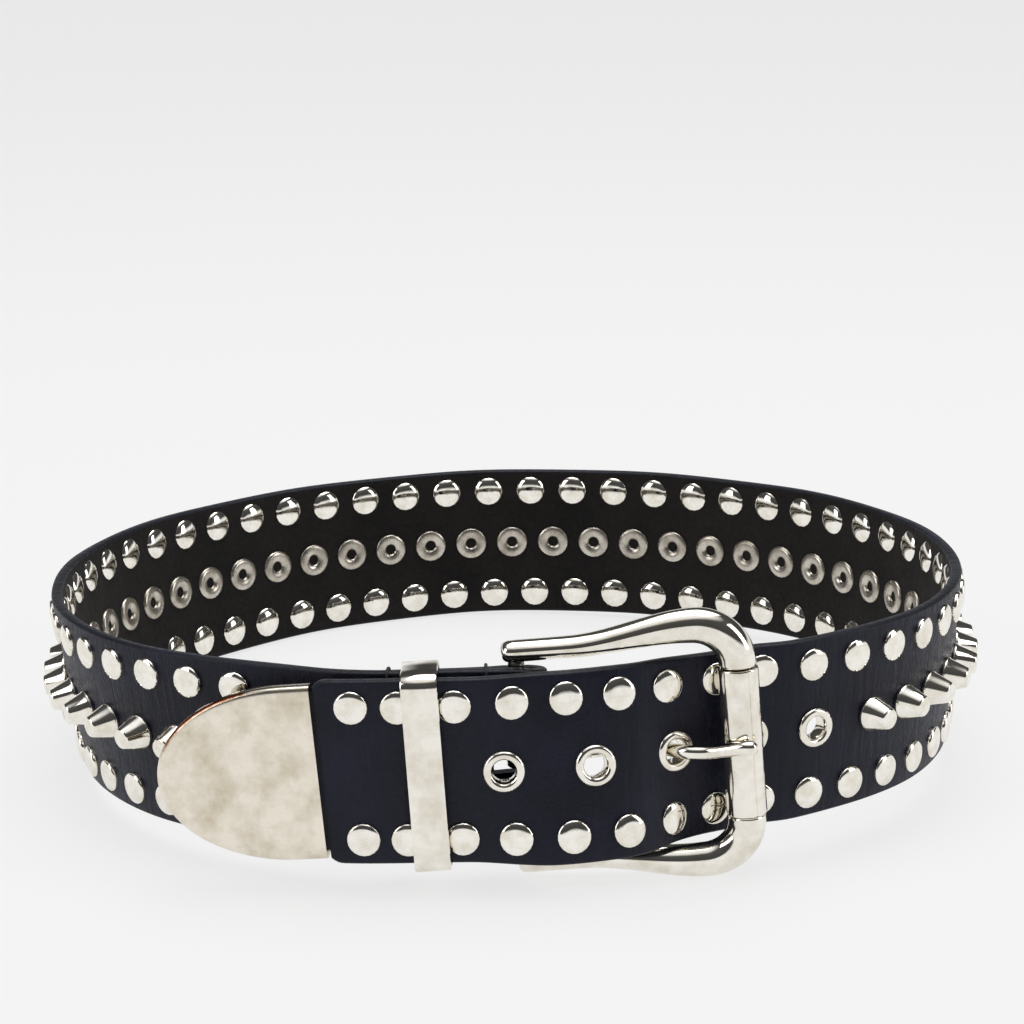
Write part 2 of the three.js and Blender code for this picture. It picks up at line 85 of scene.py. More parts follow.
# %% How the belt stands
REST_AXIS, REST_ANGLE = Vector((-0.90843, -0.41802, 0)), math.radians(2.2912)
REST_TURN = Quaternion(REST_AXIS, REST_ANGLE).to_matrix().to_4x4()
BUCKLE_FRAME = Matrix.Translation(HEEL) @ Matrix.Rotation(-BUCKLE_CANT, 4, "Y")
roller_low, roller_high = [Vector(corner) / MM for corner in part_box("roller")]
roller_middle = BUCKLE_FRAME @ Vector((BUCKLE_REACH, 0, 0))
REST = Matrix.Translation((roller_low + roller_high) / 2 - REST_TURN @ roller_middle) @ REST_TURN
print("the belt is shifted by", [round(value, 2) for value in REST.translation])

# %% [markdown]
# The camera comes early. It stands in front of the belt, a little above it, with a long lens, and was
# worked out from the outline of the loop.

# %% Camera
PITCH, ROLL, FOCAL_PIXELS, PICTURE_PIXELS, SENSOR_MM = 0.2336, 0.0246, 2754.4, 1024, 36
CAMERA_PLACE = (0, -797, 254.5)
forward = Vector((0, math.cos(PITCH), -math.sin(PITCH)))
right = Vector((math.cos(ROLL), -math.sin(ROLL) * math.sin(PITCH), -math.sin(ROLL) * math.cos(PITCH)))
upward = Vector((math.sin(ROLL), math.cos(ROLL) * math.sin(PITCH), math.cos(ROLL) * math.cos(PITCH)))
turn = Matrix((right, upward, -forward)).transposed().to_4x4()
pose = REST @ Matrix.Translation(CAMERA_PLACE) @ turn
camera = bpy.data.objects.new("camera", bpy.data.cameras.new("camera"))
camera.matrix_world = Matrix.Translation(pose.translation * MM) @ pose.to_3x3().to_4x4()
camera.data.sensor_width = SENSOR_MM
camera.data.lens = FOCAL_PIXELS / PICTURE_PIXELS * SENSOR_MM
camera.data.clip_end = 100
bpy.context.scene.collection.objects.link(camera)
bpy.context.scene.camera = camera
print("lens", round(camera.data.lens, 1), "mm")

# %% [markdown]
# The strap follows one route in plan: the folded end behind the buckle, round the heel bar, round the loop,
# behind the roller and over itself to the metal tip. A spline through chosen points gives it, as it does in
# the solids.

# %% The strap's route
def smooth_step(low, high, value):
    share = min(max((value - low) / (high - low), 0), 1)
    return share * share * (3 - 2 * share)


def spline(points, steps=24):
    """A curve through points with even steps between them."""
    knots = [np.array(point, float) for point in points]
    last = len(knots) - 1
    curve = []
    for index in range(last):
        before, start, end = knots[max(index - 1, 0)], knots[index], knots[index + 1]
        after = knots[min(index + 2, last)]
        leave, arrive = (end - before) / 2, (after - start) / 2
        for t in np.arange(steps) / steps:
            cubic = (2 * start - 2 * end + leave + arrive) * t**3
            curve.append(cubic + (3 * end - 3 * start - 2 * leave - arrive) * t**2 + leave * t + start)
    return curve + [knots[last]]


def oval(angle):
    c, s = math.cos(angle), math.sin(angle)
    across = LOOP_LEFT if c < 0 else LOOP_RIGHT
    front = LOOP_FRONT if c < 0 else LOOP_FRONT - RIGHT_TUCK
    power = BACK_SQUARENESS if s > 0 else FRONT_SQUARENESS
    reach = (abs(c / across) ** power + abs(s / (LOOP_BACK if s > 0 else front)) ** power) ** (-1 / power)
    return (c * reach, s * reach)


PASS_DISTANCE = ROLLER_RADIUS + 3 * SEAT_GAP + STUD_HEIGHT + HALF_LEATHER
roller_plan = np.array((HEEL.x + BUCKLE_REACH * math.cos(BUCKLE_CANT), HEEL.y))
BEHIND_ROLLER = roller_plan + PASS_DISTANCE * np.array((-math.sin(PASS_ANGLE), math.cos(PASS_ANGLE)))
pass_direction = -np.array((math.cos(PASS_ANGLE), math.sin(PASS_ANGLE)))
chape_line = LEATHER + KEEPER_SLACK + KEEPER_WALL + 2 * SEAT_GAP - LOOP_FRONT
fold = HEEL.x + HALF_WIDTH * math.sin(BUCKLE_CANT)
chape = spline([
    (HEEL.x - CHAPE_LENGTH, chape_line), (HEEL.x - 28, chape_line), (HEEL.x - 17.5, chape_line + 0.3),
    (HEEL.x - 9, HEEL.y + FOLD_RADIUS - 1.3), (HEEL.x - 3.5, HEEL.y + FOLD_RADIUS - 0.15),
    (fold, HEEL.y + FOLD_RADIUS)])
turns = np.linspace(math.pi / 2, -math.pi / 2, 40)
round_heel = [np.array((fold + FOLD_RADIUS * math.cos(a), HEEL.y + FOLD_RADIUS * math.sin(a))) for a in turns]
angles = np.radians(np.linspace(-119, -410.7, 27))
front_line = -LOOP_FRONT - OVERLAP_STEP
loop = spline(
    [(fold, HEEL.y - FOLD_RADIUS), (HEEL.x - 13.5, -LOOP_FRONT), (HEEL.x - 31.5, 0.2 - LOOP_FRONT),
     (HEEL.x - 45.5, 2.6 - LOOP_FRONT)]
    + [oval(angle) for angle in angles]
    + [BEHIND_ROLLER + along * pass_direction for along in (-9, 0, EYELET_FROM_ROLLER)]
    + [(HEEL.x + x, front_line + y) for x, y in
       ((BUCKLE_REACH * 0.495, 5.9), (BUCKLE_REACH * 0.234, 1.6), (-1.5, 0.1), (-16.5, 0), (-31.5, 0.3),
        (-43, 1.2), (-MOUTH_FROM_HEEL, 2.7))])
route = np.array(chape + round_heel[1:] + loop[1:])
travelled = np.concatenate(([0], np.cumsum(np.linalg.norm(np.diff(route, axis=0), axis=1))))
MOUTH = travelled[-1]
FOLD_START = travelled[len(chape) - 1]
FOLD_END = travelled[len(chape) + len(round_heel) - 2]
print("the strap is", round(MOUTH), "mm long to the tip's mouth")

# %% [markdown]
# A place on the strap is named by its distance along the route, its height on the strap and its depth
# outwards. The loop is a little wider at its top edge, so the strap leans with its place across the loop.
# Between the keeper and the roller the free end also leans back at its top, and the folded end is narrower.

# %% Places on the strap
def plan_point(distance):
    inside = min(max(distance, 0), MOUTH)
    point = np.array([np.interp(inside, travelled, route[:, axis]) for axis in (0, 1)])
    if distance > MOUTH:
        end_direction = route[-1] - route[-8]
        point += (distance - MOUTH) * end_direction / np.linalg.norm(end_direction)
    return point


def distance_at(x, low, high):
    rising = plan_point(high)[0] > plan_point(low)[0]
    for _ in range(40):
        middle = (low + high) / 2
        low, high = (middle, high) if (plan_point(middle)[0] < x) == rising else (low, middle)
    return (low + high) / 2


near_heel = MOUTH - MOUTH_FROM_HEEL
ROLLER_FROM_MOUTH = MOUTH - distance_at(BEHIND_ROLLER[0], near_heel - 2 * BUCKLE_REACH, near_heel)
LEAN_START = MOUTH_FROM_HEEL - KEEPER_FROM_HEEL + KEEPER_WIDTH


def edge_lean(distance):
    """How far the free end's top edge goes in and its lower edge comes out."""
    from_mouth = MOUTH - distance
    rise = smooth_step(LEAN_START, LEAN_START + LEAN_RISE, from_mouth)
    fall = smooth_step(ROLLER_FROM_MOUTH - LEAN_FALL[0], ROLLER_FROM_MOUTH - LEAN_FALL[1], from_mouth)
    return FREE_END_LEAN * rise * (1 - fall)


def strap_point(distance, height, depth):
    x, y = plan_point(distance)
    along = plan_point(distance + 0.4) - plan_point(distance - 0.4)
    along /= np.linalg.norm(along)
    depth -= edge_lean(distance) * (2 * height / STRAP_WIDTH - 1)
    x, y = x - along[1] * depth, y + along[0] * depth
    lean = FLARE * (x - FLARE_CENTRE) / ((LOOP_LEFT + LOOP_RIGHT) / 2)
    share = CHAPE_SHARE + (1 - CHAPE_SHARE) * smooth_step(FOLD_START, FOLD_END + LEATHER, distance)
    return Vector((x + lean * (height / STRAP_WIDTH - 0.5), y, HALF_WIDTH + (height - HALF_WIDTH) * share))


def seat(distance, height, depth=0.0, start=None, end=None):
    """A frame on the strap: X back along the route, Y up the strap, Z outwards."""
    start = distance - 0.5 if start is None else start
    end = distance + 0.5 if end is None else end
    first, second = strap_point(start, height, 0), strap_point(end, height, 0)
    back = (first - second).normalized()
    up = (strap_point(distance, STRAP_WIDTH, 0) - strap_point(distance, 0, 0)).normalized()
    out = back.cross(up).normalized()
    back = up.cross(out)
    place = first.lerp(second, (distance - start) / (end - start)) + out * depth
    return Matrix.Translation(place) @ Matrix((back, up, out)).transposed().to_4x4()


def places(row, first, pitch, count):
    return [first - pitch * (index - STRAYS.get((row, index), 0)) for index in range(count)]


PRONG_EYELET_AT = MOUTH - ROLLER_FROM_MOUTH + EYELET_FROM_ROLLER
eyelet_places = places("eyelet", PRONG_EYELET_AT + 2 * EYELET_PITCH, EYELET_PITCH, EYELET_COUNT)
last_stud_at = distance_at(HEEL_X - LAST_STUD_FROM_HEEL, FOLD_END, FOLD_END + LOOP_LEFT)
stud_count = int((MOUTH - STUD_FROM_MOUTH - last_stud_at) // STUD_PITCH) + 1
stud_places = places("stud", MOUTH - STUD_FROM_MOUTH, STUD_PITCH, stud_count)
between_studs = places("cone", MOUTH - STUD_FROM_MOUTH - STUD_PITCH / 2, STUD_PITCH, stud_count - 1)
cone_places = [at for at in between_studs if at < eyelet_places[-1] - STUD_PITCH]
print(len(stud_places), "places for flat studs,", len(cone_places), "for cones")

# %% [markdown]
# Colours are written as sRGB hex values, and one function turns them to linear light. One small function
# adds a node with its settings and links, so that each finish below reads as a list of what it is made of.

# %% Helpers for finishes
def paint(hex_colour):
    """An sRGB hex colour as linear light."""
    shares = [int(hex_colour[i:i + 2], 16) / 255 for i in (1, 3, 5)]
    return tuple(s / 12.92 if s <= 0.04045 else ((s + 0.055) / 1.055) ** 2.4 for s in shares) + (1.0,)


def add(tree, kind, inputs=None, **settings):
    """Adds a node. An input is a value or another node's output."""
    node = tree.nodes.new(kind)
    for name, value in settings.items():
        setattr(node, name, value)
    for name, value in (inputs or {}).items():
        if isinstance(value, bpy.types.NodeSocket):
            tree.links.new(value, node.inputs[name])
        else:
            node.inputs[name].default_value = value
    return node


def ramp(tree, factor, stops):
    node = add(tree, "ShaderNodeValToRGB", {"Fac": factor})
    while len(node.color_ramp.elements) < len(stops):
        node.color_ramp.elements.new(0.5)
    for element, (position, colour) in zip(node.color_ramp.elements, stops):
        element.position = position
        element.color = paint(colour) if isinstance(colour, str) else (colour, colour, colour, 1)
    return node.outputs["Color"]


def noise(tree, place, size_mm, **inputs):
    """Cloudy noise whose blotches are about this many millimetres wide."""
    made = add(tree, "ShaderNodeTexNoise", {"Vector": place, "Scale": 1 / (size_mm * MM), **inputs})
    return made.outputs["Fac"]


def bump(tree, height, depth_mm, strength, below=None):
    inputs = {"Height": height, "Distance": depth_mm * MM, "Strength": strength}
    if below:
        inputs["Normal"] = below
    return add(tree, "ShaderNodeBump", inputs).outputs["Normal"]


def new_finish(name):
    material = bpy.data.materials.new(name)
    material.use_nodes = True
    material.node_tree.nodes.clear()
    return material, material.node_tree


def finish_with(tree, inputs):
    shader = add(tree, "ShaderNodeBsdfPrincipled", inputs)
    add(tree, "ShaderNodeOutputMaterial", {"Surface": shader.outputs["BSDF"]})

# %% [markdown]
# The outside is smooth-grained cowhide, dyed black and finished with a resin coat. It gives the eye a deep
# blue-black with a soft sheen, a pore pattern of under a millimetre and faint upright creases from wear.
# The pattern reads the strap's own map, in metres along and up the strap, so that it bends with the loop.

# %% Leather finishes
def leather(name, dark, light, rough_low, rough_high, grain_mm, crease_height, sheen):
    material, tree = new_finish(name)
    place = add(tree, "ShaderNodeTexCoord").outputs["UV"]
    pores = add(tree, "ShaderNodeTexVoronoi", {"Vector": place, "Scale": 1 / (grain_mm * MM)})
    tall = add(tree, "ShaderNodeMapping", {"Vector": place, "Scale": (1 / (4.2 * MM), 1 / (34 * MM), 1)})
    crease = add(tree, "ShaderNodeTexNoise", {
        "Vector": tall.outputs["Vector"], "Scale": 1.0, "Detail": 4.0, "Distortion": 0.7})
    colour = ramp(tree, noise(tree, place, 22, Detail=5.0, Roughness=0.62), [(0.34, dark), (0.72, light)])
    rough = ramp(tree, noise(tree, place, 1.6, Detail=3.0), [(0.3, rough_low), (0.75, rough_high)])
    folds = ramp(tree, crease.outputs["Fac"], [(0.42, 0.0), (0.52, 0.85), (0.62, 1.0)])
    pored = bump(tree, pores.outputs["Distance"], 0.12, 0.55)
    finish_with(tree, {
        "Base Color": colour, "Roughness": rough, "Normal": bump(tree, folds, crease_height, 0.6, pored),
        "IOR": 1.4, "Specular IOR Level": 0.34, "Sheen Weight": sheen, "Sheen Roughness": 0.5})
    return material


outside_leather = leather("dyed grain leather", "#080a17", "#15182b", 0.38, 0.54, 0.9, 0.16, 0.0)
inside_leather = leather("bare flesh side leather", "#0b0908", "#1c1816", 0.7, 0.88, 1.3, 0.12, 0.02)
edge_paint = leather("painted leather edge", "#0a0c14", "#1b1f2c", 0.38, 0.58, 1.1, 0.1, 0.0)
print("leather finishes", outside_leather.name, inside_leather.name, edge_paint.name)

# %% [markdown]
# The hardware is nickel-plated zinc and steel. Nickel is a warm white metal. Years of wear leave it bright
# with clouds of thin tarnish, which are browner and rougher, and with hairline scratches.

# %% Metal finishes
def nickel(name, bright, dull, tarnish, tarnish_share, rough_low, rough_high, cloud_mm=7.0, stain=None):
    material, tree = new_finish(name)
    place = add(tree, "ShaderNodeTexCoord").outputs["Object"]
    cloud = noise(tree, place, cloud_mm, Detail=6.0, Roughness=0.6)
    specks = noise(tree, place, 1.3, Detail=4.0, Roughness=0.7)
    hairs = add(tree, "ShaderNodeMapping", {
        "Vector": place, "Rotation": (0.3, 0.5, 0.4), "Scale": (1 / (0.25 * MM), 1 / (7 * MM), 1 / (5 * MM))})
    scratch = add(tree, "ShaderNodeTexNoise", {"Vector": hairs.outputs["Vector"], "Scale": 1.0, "Detail": 2.0})
    plate = ramp(tree, cloud, [(0.32, dull), (0.6, bright)])
    clean = 1 - tarnish_share
    spots = ramp(tree, specks, [(clean - 0.06, 0.0), (clean + 0.05, 1.0)])
    result = add(tree, "ShaderNodeMix", {
        "Factor": spots, "A": plate, "B": paint(tarnish)}, data_type="RGBA").outputs["Result"]
    if stain:
        stained = add(tree, "ShaderNodeAttribute", attribute_name="stain")
        broken = add(tree, "ShaderNodeMath", {0: stained.outputs["Fac"], 1: specks}, operation="MULTIPLY")
        mask = ramp(tree, broken.outputs["Value"], [(0.12, 0.0), (0.42, 0.95)])
        result = add(tree, "ShaderNodeMix", {
            "Factor": mask, "A": result, "B": paint(stain)}, data_type="RGBA").outputs["Result"]
    rough = add(tree, "ShaderNodeMapRange", {
        "Value": cloud, "From Min": 0.65, "From Max": 0.3, "To Min": rough_low, "To Max": rough_high})
    scratched = bump(tree, scratch.outputs["Fac"], 0.012, 0.35)
    finish_with(tree, {
        "Base Color": result, "Metallic": 1.0, "Roughness": rough.outputs["Result"],
        "Normal": bump(tree, specks, 0.03, 0.25, scratched)})
    return material


buckle_nickel = nickel("worn polished nickel", "#f4f0e7", "#ded7c8", "#a08f78", 0.2, 0.05, 0.14)
stud_nickel = nickel("bright nickel studs", "#f6f3ec", "#e4decf", "#a8987f", 0.18, 0.05, 0.14, 4.0)
back_nickel = nickel("dull plated rivet backs", "#c9c3b8", "#a0978a", "#6b5645", 0.3, 0.22, 0.42, 5.0)
# A near-black finish of painted shade, for the shadow down the rivet bores.
bore_painted_shade = nickel("painted shade in rivet bore", "#2b2622", "#1b1816", "#15110f", 0.3, 0.6, 0.8)
print("metal finishes", buckle_nickel.name, stud_nickel.name, back_nickel.name)

# %% [markdown]
# Pieces are made as lofts: rings of points joined by faces, closed at both ends. One function does this,
# recalculates the outward side and sets the piece in the standing belt's place, in metres.

# %% Mesh helpers
def make_object(name, mesh, finishes):
    for finish in finishes:
        mesh.materials.append(finish)
    piece = bpy.data.objects.new(name, mesh)
    bpy.context.scene.collection.objects.link(piece)
    return piece


def to_mesh(name, points, faces, place=None, face_finish=None, sharp=40):
    matrix = REST @ place if place is not None else REST
    mesh = bpy.data.meshes.new(name)
    mesh.from_pydata([(matrix @ Vector(point)) * MM for point in points], [], faces)
    if face_finish:
        mesh.polygons.foreach_set("material_index", face_finish)
    made = bmesh.new()
    made.from_mesh(mesh)
    bmesh.ops.remove_doubles(made, verts=made.verts, dist=1e-7)
    bmesh.ops.recalc_face_normals(made, faces=made.faces)
    made.to_mesh(mesh)
    made.free()
    mesh.polygons.foreach_set("use_smooth", [True] * len(mesh.polygons))
    mesh.set_sharp_from_angle(angle=math.radians(sharp))
    return mesh


def loft(rings, closed=False):
    """Points and faces of a skin over rings. An open row of rings is closed by a face at each end."""
    sides = len(rings[0])
    points = [point for ring in rings for point in ring]
    faces = []
    rows = len(rings) if closed else len(rings) - 1
    for row in range(rows):
        this, following = row * sides, ((row + 1) % len(rings)) * sides
        for side in range(sides):
            after = (side + 1) % sides
            faces.append((this + side, this + after, following + after, following + side))
    if not closed:
        faces.append(tuple(range(sides)))
        faces.append(tuple(range(len(points) - sides, len(points))))
    return points, faces


def turned(profile, sides):
    """A closed shape turned about Z from (radius, height) pairs. A radius of 0 is a pole."""
    points, faces, rows = [], [], []
    for radius, height in profile:
        if radius == 0:
            rows.append([len(points)] * sides)
            points.append((0, 0, height))
            continue
        rows.append(list(range(len(points), len(points) + sides)))
        for side in range(sides):
            angle = 2 * math.pi * side / sides
            points.append((radius * math.cos(angle), radius * math.sin(angle), height))
    for low, high in zip(rows, rows[1:]):
        for side in range(sides):
            after = (side + 1) % sides
            corners = list(dict.fromkeys((low[side], low[after], high[after], high[side])))
            faces.append(tuple(corners))
    return points, faces


def shown(piece, body, slot, *nodes):
    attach(piece, body)
    if nodes:
        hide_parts(*nodes)
    print(piece.name, "faces", len(piece.data.polygons))

# %% [markdown]
# The strap is one leather band with painted, slightly rounded edges. It could be a flat plane on a curve,
# but a loft of its cross-section gives the edges, the fold and the two sides their own finish. Its own map
# is laid out in metres.

# %% Strap
def band_section():
    """Height and depth of the points round the strap's cross-section, and the finish of each side."""
    corner, rows = 0.8, 12
    section, finishes = [], []
    heights = np.linspace(corner, STRAP_WIDTH - corner, rows)
    for height in heights:
        section.append((height, HALF_LEATHER))
        finishes.append(0)
    finishes[-1] = 2
    for share in (0.3, 0.75):
        section.append((STRAP_WIDTH - corner * (1 - share), HALF_LEATHER - corner * share * share))
        finishes.append(2)
    for share in (0.75, 0.3):
        section.append((STRAP_WIDTH - corner * (1 - share), corner * share * share - HALF_LEATHER))
        finishes.append(2)
    for height in heights[::-1]:
        section.append((height, -HALF_LEATHER))
        finishes.append(1)
    finishes[-1] = 2
    for share in (0.3, 0.75):
        section.append((corner * (1 - share), corner * share * share - HALF_LEATHER))
        finishes.append(2)
    for share in (0.75, 0.3):
        section.append((corner * (1 - share), HALF_LEATHER - corner * share * share))
        finishes.append(2)
    return section, finishes


def strap_stations():
    stations = [(at, 1.0, 1.0) for at in np.arange(0, FOLD_START, 2.4)]
    stations += [(at, 1.0, 1.0) for at in np.linspace(FOLD_START, FOLD_END, 20)]
    end = MOUTH - 0.9
    stations += [(at, 1.0, 1.0) for at in np.arange(FOLD_END + 2.2, end - 4.4, 2.2)]
    for before in (3.6, 2.4, 1.5, 0.8, 0.35, 0.0):
        share = 1 - before / 3.6
        stations.append((end - before, 1 - 0.055 * share**2.5, 1 - 0.12 * share**3))
    return stations + [(end, 0.86, 0.66), (MOUTH + 4, 0.86, 0.66)]


section, section_finish = band_section()
stations = strap_stations()
rings = []
for at, width_share, thickness_share in stations:
    ripple = 0.14 * math.sin(at / 9.7) + 0.1 * math.sin(at / 23.0 + 1.3)
    rings.append([
        strap_point(at, HALF_WIDTH + (height - HALF_WIDTH) * width_share
                    + ripple * (abs(height - HALF_WIDTH) / HALF_WIDTH) ** 6, depth * thickness_share)
        for height, depth in section])
points, faces = loft(rings)
face_finish = section_finish * (len(rings) - 1) + [2, 2]
mesh = to_mesh("strap", points, faces, face_finish=face_finish, sharp=50)
strap = make_object("strap_leather", mesh, [outside_leather, inside_leather, edge_paint])
print("strap faces", len(mesh.polygons))

# %% [markdown]
# The holes for the eyelets and the slot for the prong are punched through with a boolean, as a punch does.
# The cutters are deleted afterwards. The map in metres is written first, so that the holes keep it.

# %% Holes in the strap
flat_map = mesh.uv_layers.new(name="strap map")
base = REST.inverted()
place_of = {}
for row, (at, _, _) in enumerate(stations):
    for column, (height, depth) in enumerate(section):
        place_of[row * len(section) + column] = (at * MM, height * MM)
finder = kdtree.KDTree(len(points))
for index, point in enumerate(points):
    finder.insert(point, index)
finder.balance()
for loop_ in mesh.loops:
    spot = base @ (mesh.vertices[loop_.vertex_index].co / MM)
    flat_map.data[loop_.index].uv = place_of[finder.find(spot)[1]]


def punched(piece, cutter_mesh):
    cutter = make_object("punch", cutter_mesh, [outside_leather, inside_leather, edge_paint])
    modifier = piece.modifiers.new("punch", "BOOLEAN")
    modifier.object = cutter
    modifier.solver = "EXACT"
    made = bpy.data.meshes.new_from_object(piece.evaluated_get(bpy.context.evaluated_depsgraph_get()))
    piece.modifiers.remove(modifier)
    piece.data = made
    bpy.data.objects.remove(cutter)


PUNCH_RADIUS, SLOT_LENGTH, SLOT_HEIGHT = 4.0, 9.0, 10.0
punch_points, punch_faces = [], []
for at in eyelet_places:
    ring_points, ring_faces = turned([(0, -4), (PUNCH_RADIUS, -4), (PUNCH_RADIUS, 4), (0, 4)], 28)
    frame_here = seat(at, HALF_WIDTH)
    offset = len(punch_points)
    punch_points += [frame_here @ Vector(point) for point in ring_points]
    punch_faces += [tuple(index + offset for index in face) for face in ring_faces]
through_fold = FOLD_RADIUS + LEATHER
slot_low = HEEL - Vector((SLOT_LENGTH, through_fold, SLOT_HEIGHT / 2))
slot_high = HEEL + Vector((2 * FOLD_RADIUS, through_fold, SLOT_HEIGHT / 2))
offset = len(punch_points)
punch_points += [Vector((x, y, z)) for x in (slot_low.x, slot_high.x) for y in (slot_low.y, slot_high.y)
                 for z in (slot_low.z, slot_high.z)]
punch_faces += [tuple(index + offset for index in face) for face in
                ((0, 1, 3, 2), (4, 6, 7, 5), (0, 4, 5, 1), (2, 3, 7, 6), (0, 2, 6, 4), (1, 5, 7, 3))]
punched(strap, to_mesh("punch", punch_points, punch_faces))
strap.data.set_sharp_from_angle(angle=math.radians(50))
shown(strap, "belt", "leather", "strap")

# %% [markdown]
# Studs, cones, caps, rivet backs, eyelets and stitches repeat along the strap. One Geometry Nodes tree sets
# a head on each point of a row, turned by the point's own turn and spun a little at random with a fixed
# seed, so that no two catch the light alike.

# %% A tree that sets heads in rows
def row_tree():
    tree = bpy.data.node_groups.new("set heads in rows", "GeometryNodeTree")
    face = tree.interface
    face.new_socket("Places", in_out="INPUT", socket_type="NodeSocketGeometry")
    kinds = {"Head": "Object", "Size": "Float", "Spin": "Float", "Seed": "Int", "Finish": "Material"}
    for name, kind in kinds.items():
        face.new_socket(name, in_out="INPUT", socket_type="NodeSocket" + kind)
    face.new_socket("Heads", in_out="OUTPUT", socket_type="NodeSocketGeometry")
    given = add(tree, "NodeGroupInput").outputs
    turn_here = add(tree, "GeometryNodeInputNamedAttribute", {"Name": "turn"}, data_type="FLOAT_VECTOR")
    turned_to = add(tree, "FunctionNodeEulerToRotation", {"Euler": turn_here.outputs["Attribute"]})
    chance = add(tree, "FunctionNodeRandomValue", {"Seed": given["Seed"]}, data_type="FLOAT")
    amount = add(tree, "ShaderNodeMath", {0: chance.outputs[1], 1: given["Spin"]}, operation="MULTIPLY")
    spin = add(tree, "FunctionNodeAxisAngleToRotation", {"Axis": (0, 0, 1), "Angle": amount.outputs["Value"]})
    turns = {"Rotation": turned_to.outputs["Rotation"], "Rotate By": spin.outputs["Rotation"]}
    both = add(tree, "FunctionNodeRotateRotation", turns, rotation_space="LOCAL")
    head = add(tree, "GeometryNodeObjectInfo", {"Object": given["Head"], "As Instance": True})
    size = add(tree, "ShaderNodeCombineXYZ", {"X": given["Size"], "Y": given["Size"], "Z": given["Size"]})
    heads = add(tree, "GeometryNodeInstanceOnPoints", {
        "Points": given["Places"], "Instance": head.outputs["Geometry"], "Rotation": both.outputs["Rotation"],
        "Scale": size.outputs["Vector"]})
    real = add(tree, "GeometryNodeRealizeInstances", {"Geometry": heads.outputs["Instances"]})
    coated = add(tree, "GeometryNodeSetMaterial", {
        "Geometry": real.outputs["Geometry"], "Material": given["Finish"]})
    add(tree, "NodeGroupOutput", {"Heads": coated.outputs["Geometry"]})
    return tree


ROWS = row_tree()


def plain_head(name, shape, sharp=40):
    """A head about its own origin, in metres, with its back at height 0."""
    points, faces = shape
    mesh = to_mesh(name, points, faces, place=REST.inverted(), sharp=sharp)
    return make_object(name, mesh, [])


def set_in_rows(name, frames, head, finish, seed, spin=math.tau):
    places_mesh = bpy.data.meshes.new(name + " places")
    world = [REST @ frame_here for frame_here in frames]
    places_mesh.from_pydata([matrix.translation * MM for matrix in world], [], [])
    turn_data = places_mesh.attributes.new("turn", "FLOAT_VECTOR", "POINT")
    turn_data.data.foreach_set("vector", [value for matrix in world for value in matrix.to_euler()])
    row = make_object(name, places_mesh, [])
    modifier = row.modifiers.new("rows", "NODES")
    modifier.node_group = ROWS
    wanted = {"Head": head, "Size": 1.0, "Spin": spin, "Seed": seed, "Finish": finish}
    for item in ROWS.interface.items_tree:
        if item.in_out == "INPUT" and item.name in wanted:
            modifier[item.identifier] = wanted[item.name]
    made = bpy.data.meshes.new_from_object(row.evaluated_get(bpy.context.evaluated_depsgraph_get()))
    row.modifiers.remove(modifier)
    row.data = made
    bpy.data.objects.remove(head)
    return row

# %% [markdown]
# The two outer rows are low domed heads, the middle row is truncated cones. Each is turned from a profile.
# The dome's edge tips up enough to mirror the dark part of the studio, as a crescent above a bright face.

# %% Flat studs and cones
STUD_HEIGHTS = (STUD_EDGE, STRAP_WIDTH - STUD_EDGE)
flat_head = plain_head("flat stud", turned([
    (0, -0.4), (4.5, -0.4), (4.52, 0.5), (4.4, 0.85), (4.1, 1.06), (3.3, 1.36), (2.4, 1.5), (1.3, 1.57),
    (0, 1.6)], 20))
flat_frames = [seat(at, height, HALF_LEATHER) for at in stud_places for height in STUD_HEIGHTS]
flat_studs = set_in_rows("flat_studs", flat_frames, flat_head, stud_nickel, 3)
shown(flat_studs, "belt", "bright_nickel")

cone_head = plain_head("cone stud", turned([
    (0, 0), (4.95, 0), (5.05, 0.5), (5.0, 0.95), (4.65, 1.35), (2.95, 6.5), (2.75, 6.85), (2.4, 7.0),
    (0, 7.02)], 24))
cone_frames = [seat(at, HALF_WIDTH, HALF_LEATHER) for at in cone_places]
cones = set_in_rows("cone_studs", cone_frames, cone_head, stud_nickel, 5)
shown(cones, "belt", "bright_nickel", *[f"cone_stud_{index + 1:02d}" for index in range(len(cone_places))])

# %% [markdown]
# On the inside, each flat stud ends in a domed cap and each cone in a rivet back: a dull rolled ring with a
# funnel. The ring is closed at its middle, and a dark disc there is painted shade for the bore.

# %% Caps and rivet backs
def inward(at, height):
    return seat(at, height, -HALF_LEATHER) @ Matrix.Rotation(math.pi, 4, "X")


cap_head = plain_head("domed cap", turned(
    [(0, -0.3), (4.8, -0.3), (4.8, 0.25), (4.3, 0.8), (3.2, 1.25), (1.6, 1.52), (0, 1.6)], 16))
cap_frames = [inward(at, height) for at in stud_places for height in STUD_HEIGHTS]
caps = set_in_rows("inside_caps", cap_frames, cap_head, stud_nickel, 7)
shown(caps, "belt", "bright_nickel")

ring_head = plain_head("rivet back", turned([
    (0, -0.3), (5.35, -0.3), (5.35, 0.35), (5.0, 0.8), (4.2, 1.0), (3.2, 0.95), (2.3, 0.75), (1.75, 0.3),
    (1.55, -0.1), (0, -0.12)], 20))
ring_frames = [inward(at, HALF_WIDTH) for at in cone_places]
rivet_backs = set_in_rows("rivet_backs", ring_frames, ring_head, back_nickel, 9)
shown(rivet_backs, "belt", "nickel")

# A dark disc in the middle of each rivet back is painted shade that stands for its hollow bore.
bore_head = plain_head("rivet bore", turned([(0, -0.2), (1.5, -0.2), (1.5, -0.04), (0, -0.02)], 14))
bore_shades = set_in_rows("rivet_bores", ring_frames, bore_head, bore_painted_shade, 11)
shown(bore_shades, "belt", "nickel")

# %% [markdown]
# The eyelets are rolled tubes: a rounded rim on the outside, a flatter flange on the inside and a bore that
# one can see through.

